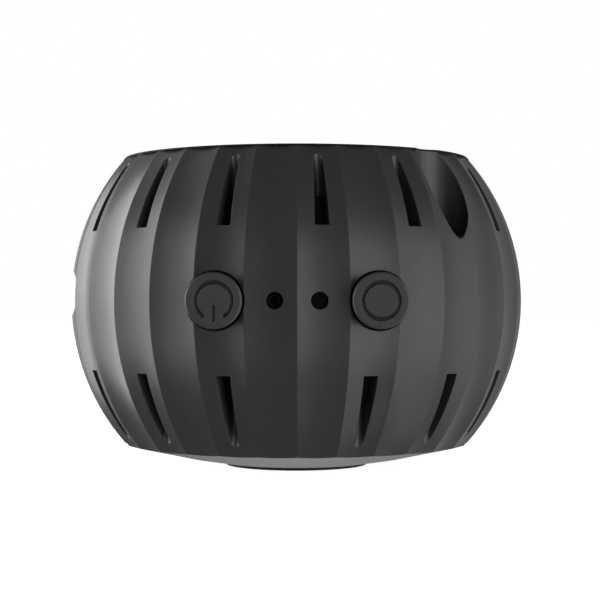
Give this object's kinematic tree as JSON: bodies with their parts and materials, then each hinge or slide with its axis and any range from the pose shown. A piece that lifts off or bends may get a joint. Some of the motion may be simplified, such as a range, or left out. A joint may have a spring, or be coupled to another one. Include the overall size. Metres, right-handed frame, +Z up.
{
  "type": "security camera",
  "caption": "Round fluted wireless camera on a small foot, with two front buttons, vent slots, a power pocket in the shoulder and a lens at the back.",
  "frame": {"origin": "middle of the foot's underside, centred on the object's box", "axes": "+Z up as it stands on its foot, -Y towards the side with the two buttons, +X to the right seen from the buttons, lens faces +Y"},
  "size_m": [0.0795, 0.0828, 0.0544],
  "materials": {
    "shell_plastic": "dark charcoal satin moulded plastic, fine spark-eroded texture",
    "cover_plastic": "dark charcoal satin moulded plastic",
    "button_plastic": "dark satin plastic, engraved marks",
    "inner_plastic": "black moulded plastic, unpainted",
    "foot_rubber": "black rubber, matt",
    "seal_rubber": "black silicone",
    "brass": "machined brass",
    "screw_steel": "zinc-plated steel",
    "board_green": "green solder mask",
    "port_metal": "stamped steel",
    "sink_aluminium": "extruded aluminium",
    "battery_wrap": "shrink film",
    "speaker_paper": "coated paper cone and moulded basket",
    "lens_glass": "coated optical glass",
    "lens_metal": "black anodised",
    "light_pipe_clear": "smoked acrylic, near black when unlit"
  },
  "bodies": {
    "camera": {"barrel_shell": "shell_plastic", "top_cover": "cover_plastic", "top_seal": "seal_rubber", "rim_ring": "seal_rubber", "base_seal": "seal_rubber", "base_cover": "cover_plastic", "foot_pad": "foot_rubber", "tripod_insert": "brass", "base_screws": "screw_steel", "inner_frame": "inner_plastic", "main_board": "board_green", "board_screws": "screw_steel", "heat_sink": "sink_aluminium", "battery_pack": "battery_wrap", "battery_cradle": "inner_plastic", "speaker": "speaker_paper", "wifi_antenna": "board_green", "switch_bracket": "inner_plastic", "left_switch_board": "board_green", "right_switch_board": "board_green", "left_switch": "inner_plastic", "right_switch": "inner_plastic", "front_board": "board_green", "microphone": "port_metal", "mic_gasket": "seal_rubber", "status_led": "light_pipe_clear", "light_pipe": "light_pipe_clear", "usb_socket": "port_metal", "usb_board": "board_green", "dc_socket": "inner_plastic", "lens_bezel": "cover_plastic", "lens_window": "lens_glass", "lens_holder": "inner_plastic", "bezel_screws": "screw_steel", "lens_barrel": "lens_metal", "front_lens": "lens_glass", "rear_lens": "lens_glass", "sensor_board": "board_green", "image_sensor": "lens_glass", "ir_board": "board_green", "ir_leds": "light_pipe_clear"},
    "power_button": {"power_button": "button_plastic", "left_plunger": "inner_plastic"},
    "function_button": {"function_button": "button_plastic", "right_plunger": "inner_plastic"}
  },
  "joints": [
    {"name": "power_button_press", "type": "slide", "parent": "camera", "child": "power_button", "axis": [0, 1, 0], "range_m": [0, 0.0006], "stiffness_N_per_m": 1500, "springref_m": -0.0004},
    {"name": "function_button_press", "type": "slide", "parent": "camera", "child": "function_button", "axis": [0, 1, 0], "range_m": [0, 0.0006], "stiffness_N_per_m": 1500, "springref_m": -0.0004}
  ]
}
